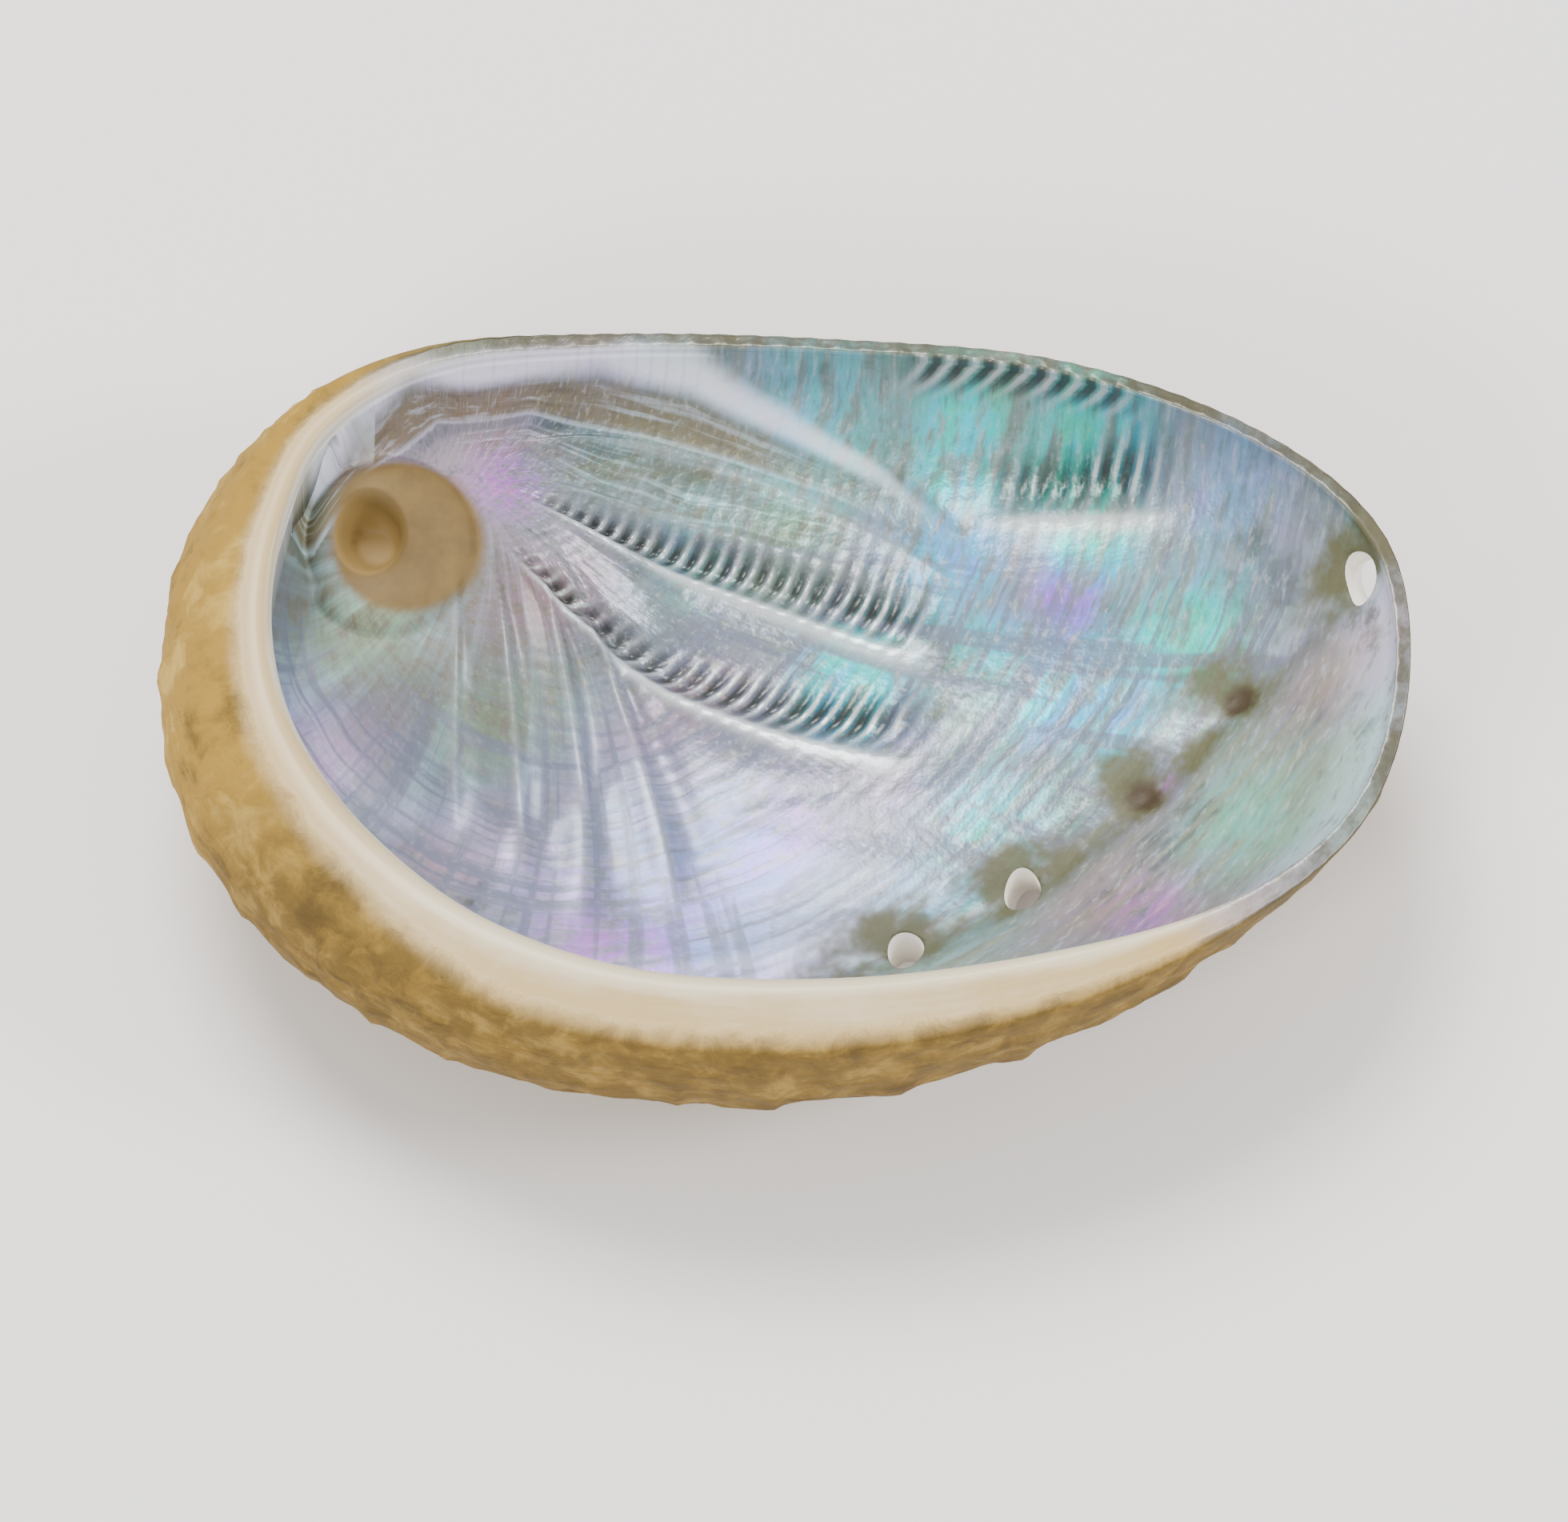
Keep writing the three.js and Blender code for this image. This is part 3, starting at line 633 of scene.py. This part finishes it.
# Each pore is cut out of the piece, and the cutters are thrown away. The cut drops what the surface
# carries, so every point takes the values of the nearest point of the uncut skin.
def cutPores():
    cutters = [poreCutter(*pore) for pore in shell["openPores"]]
    for cutter in cutters:
        show(cutter)
        cut = piece.modifiers.new("pore", "BOOLEAN")
        cut.operation, cut.solver, cut.object, cut.material_mode = "DIFFERENCE", "EXACT", cutter, "TRANSFER"
    bpy.context.view_layer.update()
    graph = bpy.context.evaluated_depsgraph_get()
    whole = piece.evaluated_get(graph)
    result = bpy.data.meshes.new_from_object(whole, preserve_all_data_layers=True, depsgraph=graph)
    piece.modifiers.clear()
    piece.data = result
    result.name = "ormer_shell"
    result.polygons.foreach_set("use_smooth", np.ones(len(result.polygons), dtype=bool))
    for cutter in cutters:
        bpy.data.objects.remove(cutter)
    restoreFacts(result)


# Known positions are sorted by their bytes, so that unmoved points are found again at once. The few new
# ones take the point at the least squared distance, fifty at a time.
def restoreFacts(mesh):
    found = np.zeros(len(mesh.vertices) * 3, dtype=np.float32)
    mesh.vertices.foreach_get("co", found)
    found = found.reshape(-1, 3)
    known = ((points + shift) * mm).astype(np.float32)
    code = lambda p: np.ascontiguousarray(p).view("V12").ravel()
    order = np.argsort(code(known))
    spot = np.minimum(np.searchsorted(code(known)[order], code(found)), len(known) - 1)
    match = order[spot]
    fresh = np.nonzero(np.any(known[match] != found, axis=1))[0]
    batch = 50
    for start in range(0, len(fresh), batch):
        some = fresh[start:start + batch]
        match[some] = np.argmin(((known[None] - found[some, None]) ** 2).sum(-1), axis=1)
    for key, value in facts.items():
        mesh.attributes[key].data.foreach_set("vector", value[match].astype(np.float32).ravel())


# One socket of a node tree, so that sums are written as sums. Numbers and sockets mix freely.
class Wire:
    def __init__(self, tree, socket):
        self.tree, self.socket = tree, socket

    # Any node: type, its settings, and values or wires for its inputs by name or number.
    def node(self, kind, settings=None, inputs=None, output=0):
        made = self.tree.nodes.new(kind)
        for key, value in (settings or {}).items():
            setattr(made, key, value)
        for key, value in (inputs or {}).items():
            if isinstance(value, Wire):
                self.tree.links.new(value.socket, made.inputs[key])
            else:
                made.inputs[key].default_value = value
        return Wire(self.tree, made.outputs[output])

    # One maths node, fed with values or wires in their order.
    def maths(self, operation, *values):
        return self.node("ShaderNodeMath", {"operation": operation}, dict(enumerate(values)))

    def __add__(self, other): return self.maths("ADD", self, other)
    def __radd__(self, other): return self.maths("ADD", other, self)
    def __sub__(self, other): return self.maths("SUBTRACT", self, other)
    def __rsub__(self, other): return self.maths("SUBTRACT", other, self)
    def __mul__(self, other): return self.maths("MULTIPLY", self, other)
    def __rmul__(self, other): return self.maths("MULTIPLY", other, self)

    def cos(self): return self.maths("COSINE", self)
    def sin(self): return self.maths("SINE", self)
    def abs(self): return self.maths("ABSOLUTE", self)
    def log(self): return self.maths("LOGARITHM", self, math.e)
    def top(self, other): return self.maths("MAXIMUM", self, other)
    def least(self, other): return self.maths("MINIMUM", self, other)

    # 0 below low, 1 above high, 3t^2 - 2t^3 between.
    def step(self, low, high):
        return self.node("ShaderNodeMapRange", {"interpolation_type": "SMOOTHSTEP"},
                         {0: self, 1: low, 2: high, 3: 0, 4: 1})

    # The three parts of a vector.
    def parts(self):
        made = self.tree.nodes.new("ShaderNodeSeparateXYZ")
        self.tree.links.new(self.socket, made.inputs[0])
        return [Wire(self.tree, made.outputs[k]) for k in range(3)]

    # This colour, mixed with another or with one of look's, by a factor.
    def mix(self, other, factor, mode="MIX"):
        other = look[other] if isinstance(other, str) else other
        made = self.tree.nodes.new("ShaderNodeMix")
        made.data_type, made.blend_type = "RGBA", mode
        for key, value in ((0, factor), (6, self), (7, other)):
            if isinstance(value, Wire):
                self.tree.links.new(value.socket, made.inputs[key])
            else:
                made.inputs[key].default_value = (*value, 1) if isinstance(value, tuple) else value
        return Wire(self.tree, made.outputs[2])

    # This colour under coats of others, one after the other: a name in look and how much of it shows.
    def coats(self, *pairs):
        result = self
        for name, share in pairs:
            result = result.mix(name, share)
        return result


# A material with one Principled shader, and the nodes that bring values into it.
class Material:
    def __init__(self, name):
        self.data = bpy.data.materials.new(name)
        self.data.use_nodes = True
        self.tree = self.data.node_tree
        self.shader = next(n for n in self.tree.nodes if n.type == "BSDF_PRINCIPLED")
        self.start = Wire(self.tree, None)

    def attribute(self, name):
        return self.start.node("ShaderNodeAttribute", {"attribute_name": name}, output="Vector")

    def place(self):
        return self.start.node("ShaderNodeTexCoord", output="Object")

    def join(self, x, y, z):
        return self.start.node("ShaderNodeCombineXYZ", None, {0: x, 1: y, 2: z})

    # A colour of look's as a wire.
    def colour(self, name):
        made = self.tree.nodes.new("ShaderNodeRGB")
        made.outputs[0].default_value = (*look[name], 1)
        return Wire(self.tree, made.outputs[0])

    # Noise between 0 and 1 at a position.
    def noise(self, vector, scale, detail=3, roughness=0.5, distortion=0):
        return self.start.node("ShaderNodeTexNoise", None, {
            "Vector": vector, "Scale": scale, "Detail": detail, "Roughness": roughness,
            "Distortion": distortion})

    # A normal tilted by the slope of a height, in units of a distance.
    def bump(self, height, distance):
        return self.start.node("ShaderNodeBump", None, {
            "Height": height, "Distance": distance, "Strength": 1}, output="Normal")

    # Constants go on the shader's sockets, wires are linked to them.
    def set(self, **sockets):
        for key, value in sockets.items():
            socket = self.shader.inputs[key.replace("_", " ")]
            if isinstance(value, Wire):
                self.tree.links.new(value.socket, socket)
            else:
                socket.default_value = value


# What can be changed of the shell's colours and shine. Colours are given as they look on a screen.
look = {
    "shade": seen(0.38, 0.42, 0.38), "silver": seen(0.55, 0.575, 0.56), "grey": seen(0.34, 0.355, 0.33),
    "pale": seen(0.82, 0.845, 0.85), "cream": seen(0.85, 0.79, 0.66), "creamEdge": seen(0.95, 0.92, 0.87),
    "creamOuter": seen(0.75, 0.63, 0.40), "tan": seen(0.45, 0.36, 0.19), "tanDark": seen(0.38, 0.30, 0.16),
    "well": seen(0.55, 0.45, 0.26), "ochre": seen(0.61, 0.48, 0.19), "umber": seen(0.38, 0.30, 0.13),
    "olive": seen(0.33, 0.26, 0.11), "chalk": seen(0.72, 0.59, 0.29), "stain": seen(0.33, 0.32, 0.18),
    "plug": seen(0.24, 0.18, 0.10), "groove": seen(0.17, 0.19, 0.18), "trough": seen(0.44, 0.44, 0.40),
    "deep": seen(0.25, 0.30, 0.30), "band": seen(0.52, 0.46, 0.35), "bevel": seen(0.97, 0.95, 0.98),
    "outer": seen(0.58, 0.56, 0.48), "keel": seen(0.33, 0.31, 0.25), "rimLine": seen(0.33, 0.31, 0.22),
    "dusk": seen(0.42, 0.375, 0.31), "lilac": seen(0.68, 0.69, 0.82), "plaid": seen(0.44, 0.46, 0.55),
    "poreWall": seen(0.96, 0.94, 0.90),
    # how far the play of colour leaves grey, and each channel's delay in turns
    "playDepth": 0.98, "playDelays": (0, 0.36, 0.66),
    # sizes of the noises, in cells per metre
    "broadPatches": 110, "blotches": 200, "patches": 260, "grain": 480, "flecks": 800,
    "metallic": 0.3, "coat": 0.22, "coatRoughness": 0.14, "roughness": 0.33, "relief": 0.001,
}


# The shell's material: nacre, lip, ring and crust, each mixed from its own colours, then by zone.
def shellMaterial():
    m = Material("ormer")
    lip, disc, crust = m.attribute("zones").parts()
    teeth, crest, along = m.attribute("relief").parts()
    cord, bearing, away = m.attribute("place").parts()
    playX, playY, strength = m.attribute("play").parts()
    stain, plug, margin = m.attribute("spots").parts()
    dark, bevel, bandShare = m.attribute("bands").parts()
    hole, holeEdge, nearSpire = m.attribute("spire").parts()
    keelSide, below, broad = m.attribute("side").parts()
    aroundX, aroundY, beyondRim = m.attribute("rim").parts()
    rimAway, length, _ = m.attribute("edge").parts()
    place = m.place()

    # Nacre: grey and pale streaks that run with the cords and with the folds, which bend as they go out.
    low = (0 - bearing).step(0.6, 1)
    bent = bearing + low * 0.35 * (away * 0.125).log()
    streak = m.noise(m.join(cord, bearing * 2.2, away * 0.05), 1.7, 3, 0.6)
    fanStreak = m.noise(m.join(bent * 9, away * 0.10, 0), 1.3, 3, 0.6)
    fanStreak = 0.5 + (fanStreak - 0.5) * away.step(0.5, 3.5)
    patch = m.noise(place, look["patches"], 5, 0.7)
    broadPatch = m.noise(place, look["broadPatches"], 2, 0.5)
    tone = streak * 0.30 + fanStreak * 0.40 + patch * 0.44 - 0.07
    nacre = m.colour("grey").mix("silver", tone.step(0.36, 0.52))
    nacre = nacre.coats(
        ("pale", tone.step(0.53, 0.72) * (1 - low * away.step(16, 9) * 0.6)),
        ("deep", patch.step(0.46, 0.34) * (1 - low) * 0.6),
        ("shade", (1 - low) * away.step(31, 23) * 0.28))

    # Near the spire and on the broad lip's side the nacre is duskier, further out a little lilac.
    dusky = (fanStreak * 0.5 + broadPatch * 0.6).step(0.70, 0.48) * away.step(15, 8)
    nacre = nacre.coats(
        ("dusk", low * dusky * 0.85),
        ("lilac", low * away.step(7, 13) * broadPatch.step(0.32, 0.6) * 0.65))

    # Troughs of the folds are greyer, and dark where they end, both painted shade. Along the outer lip lie
    # smooth bands, with a pale line between the dark one and the grey below it.
    nacre = nacre.coats(
        ("trough", teeth * 0.75),
        ("deep", teeth * away.step(11, 15) * 0.8),
        ("band", below * fanStreak.step(0.6, 0.35) * 0.7),
        ("band", dark * (fanStreak.step(0.3, 0.6) * 0.3 + 0.65)))
    bandEdge = (1 - bandShare.abs().step(0.03, 0.25)) * below.top(dark).step(0, 0.4)
    nacre = nacre.mix("pale", bandEdge * 0.75)
    bandLines = m.noise(m.join(bandShare * 5, bearing * 1.5, away * 0.12), 1.6, 3, 0.6)
    nacre = nacre.coats(
        ("pale", (dark + below) * bandLines.step(0.50, 0.68) * 0.5),
        ("keel", (dark + below) * bandLines.step(0.46, 0.30) * 0.5),
        ("bevel", bevel * 0.95))

    # Outside the keel the surface is darker and its lines run along the keel.
    beyond = (0 - keelSide).step(-0.3, 1)
    keelLines = m.noise(m.join(keelSide * 0.9, bearing * 1.2, 0), 2, 3, 0.6)
    nacre = nacre.coats(
        ("outer", beyond * keelLines.step(0.70, 0.36) * 0.9),
        ("pale", beyond * keelLines.step(0.54, 0.72) * rimAway.step(3.5, 1.2) * 0.6),
        ("pale", beyond * rimAway.step(3.2, 0.8) * patch.step(0.28, 0.46) * 0.9))
    # A soft dark line along the keel's groove is painted shade.
    crease = (1 - (keelSide + 0.5 + (patch - 0.5) * 1.6).abs().step(0.1, 1.1)) * away.step(14, 20)
    nacre = nacre.mix("keel", crease * 0.4)

    # Play of colour: each channel is 1 plus a cosine of the phase, about a third of a turn apart, and the
    # phase wobbles with the patches.
    wobble = (patch - 0.5) * 2 + (streak - 0.5) * 0.9
    cosine = playX * wobble.cos() - playY * wobble.sin()
    sine = playX * wobble.sin() + playY * wobble.cos()
    swing = lambda delay: cosine * math.cos(delay) + sine * math.sin(delay)
    rainbow = m.join(*(1 + look["playDepth"] * swing(turn * delay) for delay in look["playDelays"]))
    mottle = m.noise(m.join(cord * 0.6, bearing * 5, away * 0.3), 2.4, 3, 0.6).step(0.36, 0.54)
    power = (strength * 1.5 * (mottle * 0.75 + 0.25)).least(1) * (1 - bevel * 0.7) * (1 - dark * 0.7)
    power = power * (1 - beyond * 0.4)
    nacre = nacre.mix("bevel", power * 0.28 * (1 - teeth))
    nacre = nacre.mix(rainbow, power * 0.95 + 0.05, "MULTIPLY")

    # Plaid: where folds and cords cross on the open floor, lines of lilac grey in both directions.
    floorShare = away.step(6, 10) * (1 - beyond) * bearing.step(0.1, -0.25)
    plaid = m.noise(m.join(cord, bearing * 0.4, 0), 2.6, 2, 0.5).step(0.49, 0.61)
    plaid = plaid.top(m.noise(m.join(bent * 16, 0, away * 0.05), 1.4, 2, 0.5).step(0.51, 0.63))
    nacre = nacre.mix("plaid", floorShare * plaid * 0.78)

    # Fine specks, pale and dark, away from the broad lip's side.
    specks = m.noise(m.join(cord, bearing * 12, away * 0.8), 3.5, 3, 0.6)
    openShare = (1 - low * 0.6) * (1 - bevel) * (1 - nearSpire)
    nacre = nacre.coats(
        ("pale", specks.step(0.53, 0.70) * openShare * 0.32),
        ("trough", specks.step(0.46, 0.32) * openShare * 0.45))

    # Cords: faint lines everywhere; in the troughs, teeth with painted shade in their gaps and painted
    # highlights on their tops; painted highlights along the fold crests.
    wave = (cord * (turn / shell["cordSpacing"])).cos()
    gap = 0.5 - 0.5 * wave
    nacre = nacre.coats(
        ("groove", gap.step(0.3, 0.9) * teeth * (patch.step(0.35, 0.55) * 0.65 + 0.3)),
        ("groove", gap.step(0.7, 1) * streak.step(0.45, 0.6) * 0.12),
        ("pale", wave.step(0.4, 1) * teeth * patch.step(0.38, 0.58) * 0.8),
        ("pale", (crest * 1.3).least(1) * patch.step(0.25, 0.5) * 0.8))

    # A row of dimples a little inside the outer lip, on a band of painted shade: painted shadow in each
    # dimple and a painted highlight between them.
    knobs = (length * (turn / marks["dimpleSpacing"]) + (patch - 0.5) * 3).cos()
    nacre = nacre.coats(
        ("trough", margin * 0.6),
        ("groove", margin * knobs.step(-0.2, 0.8) * 0.9),
        ("pale", margin * knobs.step(-0.3, -0.9) * 0.6))

    # Stains round the pores and along the row.
    rowShare = bearing.step(-1.05, -0.85) * bearing.step(-0.22, -0.38)
    rowStain = (1 - (keelSide + 0.1).abs().step(0.2, 1.6)) * rowShare * 0.75
    grain = (m.noise(place, look["grain"], 3, 0.65) - 0.5) * 1.9
    stainEdge = (stain.top(rowStain) + grain * 0.8).step(0.22, 0.85)
    nacre = nacre.mix("stain", stainEdge * 0.92)
    plugShare = (plug + stain * 0.4 - 0.3 + grain * 0.9).step(0.3, 0.9)
    nacre = nacre.mix("plug", plugShare * 0.9)

    # Lip: white along its inner edge, a painted highlight on the rounded edge, cream across, tan where it
    # meets the crust, in streaks along it.
    lipStreak = m.noise(m.join(aroundX * 2.2, aroundY * 2.2, along * 9), 1, 3, 0.6)
    lipAcross = along + (lipStreak - 0.5) * 0.3
    lipColour = m.colour("creamEdge").mix("cream", lipAcross.step(0.30, 0.48))
    lipColour = lipColour.mix("creamOuter", (lipAcross + (patch - 0.5) * 0.25).step(0.58, 0.86))
    px, py, _ = place.parts()
    lipColour = lipColour.mix("creamOuter", px.step(-0.010, -0.018) * lipAcross.step(0.4, 0.5) * 0.7)

    # Ring and well.
    ringColour = m.colour("tan").mix("tanDark", patch.step(0.35, 0.65))
    ringColour = ringColour.mix("well", hole).mix("olive", holeEdge * 0.55)
    ring = disc.top(hole)

    # Crust: ochre in layers that run along the rim, with dark flecks, darker grooves between the cords and
    # chalky worn places; umber on the front side is painted shade.
    shrink = 1 - beyondRim * 0.95
    layerPlace = m.join(aroundX * 4 * shrink, aroundY * 4 * shrink, beyondRim * 16 + along)
    layers = m.noise(layerPlace, 1.6, 3, 0.65)
    flecks = m.noise(place, look["flecks"], 4, 0.65, 0.4)
    blotch = m.noise(place, look["blotches"], 2, 0.6)
    dirt = layers * 0.58 + flecks * 0.34 + blotch * 0.18
    # Painted shade: umber over the crust on the front side, fading towards the bottom of the back.
    shaded = py.step(-0.002, -0.008) * beyondRim.step(0.6, 0.3)
    crustColour = m.colour("chalk").mix("ochre", dirt.step(0.42, 0.54))
    crustColour = crustColour.mix("umber", shaded * (flecks.step(0.3, 0.6) * 0.4 + 0.45))
    backWave = (keelSide * (turn / shell["backCordSpacing"]) + (flecks - 0.5) * 2).cos()
    backGroove = backWave.step(-0.2, -0.95) * beyondRim.step(0.05, 0.25)
    crustColour = crustColour.coats(
        ("umber", backGroove * 0.55),
        ("olive", (dirt + shaded * 0.03).step(0.56, 0.74) * 0.85))

    # All zones together, with a dark line on the thin rim.
    crust = (crust + (flecks - 0.5) * 0.35).step(0.2, 0.8)
    colour = nacre.mix(lipColour, lip).mix(ringColour, ring).mix(crustColour, crust)
    rimLine = (1 - broad) * along.step(0.35, 0.62) * beyondRim.step(0.10, 0.02)
    colour = colour.mix("rimLine", rimLine * (patch.step(0.3, 0.6) * 0.5 + 0.45))

    # Fine relief, and what shines: nacre most, lip and ring less, crust and stains hardly.
    soft = (lip + ring + crust).least(1)
    calm = (1 - low * 0.6) * (1 - nearSpire * 0.8)
    height = (wave * 0.004 + fanStreak * 0.07 + patch * 0.12) * (1 - soft) * calm
    height = height + (flecks * 0.25 + layers * 0.3) * crust
    height = height - margin * knobs * 0.08
    roughness = look["roughness"] + lip * 0.1 + ring * 0.3 + crust * 0.5
    roughness = roughness + (nearSpire * 0.25 + low * 0.08 + stainEdge * 0.25) * (1 - soft)
    coat = (1 - crust) * (1 - ring) * (1 - stainEdge) * (1 - nearSpire * 0.8)
    m.set(Base_Color=colour,
          Roughness=roughness,
          Metallic=(1 - soft) * look["metallic"] * (1 - stainEdge) * (1 - bevel),
          Coat_Weight=coat * look["coat"],
          Coat_Roughness=look["coatRoughness"],
          Normal=m.bump(height, look["relief"]))
    return m.data


# The pore walls are near white: painted light, standing for the light seen through the pores.
poreWall = Material("poreWall")
poreWall.set(Base_Color=(*look["poreWall"], 1), Roughness=0.8)
piece.data.materials.append(shellMaterial())
cutPores()
print("mesh: faces", len(piece.data.polygons), "materials", [m.name for m in piece.data.materials])
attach(piece, "root")
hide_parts("shell")
print("shell: done")


# What can be changed of the table, the light and the camera, in metres, watts and degrees.
studio = {
    "table": seen(0.965, 0.95, 0.945), "tableSize": 1.2, "tableRoughness": 0.75, "world": 0.78,
    "distance": 0.66, "elevation": 61, "aim": (0, 0, 0.005),
    "lens": 425, "sensor": 36, "clip": (0.05, 10),  # lens and sensor in mm
    # name, place, diameter, power, colour
    "lamps": [
        ("sky", (-0.12, 0.28, 0.6), 0.35, 5.4, (1, 0.99, 0.97)),
        ("side", (0.55, -0.1, 0.4), 0.2, 2.4, (0.98, 0.99, 1)),
        ("front", (-0.3, -0.5, 0.5), 0.25, 3.5, (1, 0.97, 0.93)),
    ],
}


# A large level sheet under the shell.
def table():
    half = studio["tableSize"] / 2
    corners = np.array([(-half, -half, 0), (half, -half, 0), (half, half, 0), (-half, half, 0)])
    mesh = meshFrom("table", corners, np.array([[0, 1, 2, 3]]), np.zeros((0, 3), dtype=int), {})
    made = bpy.data.objects.new("table", mesh)
    show(made)
    m = Material("table")
    m.set(Base_Color=(*studio["table"], 1), Roughness=studio["tableRoughness"])
    mesh.materials.append(m.data)


# A soft round lamp that faces the shell.
def lamp(name, position, size, power, colour):
    light = bpy.data.lights.new(name, "AREA")
    light.shape, light.size, light.energy, light.color = "DISK", size, power, colour
    made = bpy.data.objects.new(name, light)
    made.location = position
    made.rotation_euler = (-Vector(position)).to_track_quat("-Z", "Y").to_euler()
    show(made)


# The camera stands in front, at a distance from its aim and an angle above the floor, and looks at it.
def camera():
    lens = bpy.data.cameras.new("camera")
    lens.lens, lens.sensor_width = studio["lens"], studio["sensor"]
    lens.clip_start, lens.clip_end = studio["clip"]
    made = bpy.data.objects.new("camera", lens)
    rise = math.radians(studio["elevation"])
    aim = Vector(studio["aim"])
    made.location = aim + studio["distance"] * Vector((0, -math.cos(rise), math.sin(rise)))
    made.rotation_euler = (aim - made.location).to_track_quat("-Z", "Y").to_euler()
    show(made)
    bpy.context.scene.camera = made


# Even pale light from all round.
def surroundings():
    world = bpy.data.worlds.new("studio")
    world.use_nodes = True
    background = world.node_tree.nodes["Background"]
    background.inputs["Color"].default_value = (1, 1, 1, 1)
    background.inputs["Strength"].default_value = studio["world"]
    bpy.context.scene.world = world


table()
for row in studio["lamps"]:
    lamp(*row)
camera()
surroundings()
print("studio: lamps", len(studio["lamps"]))
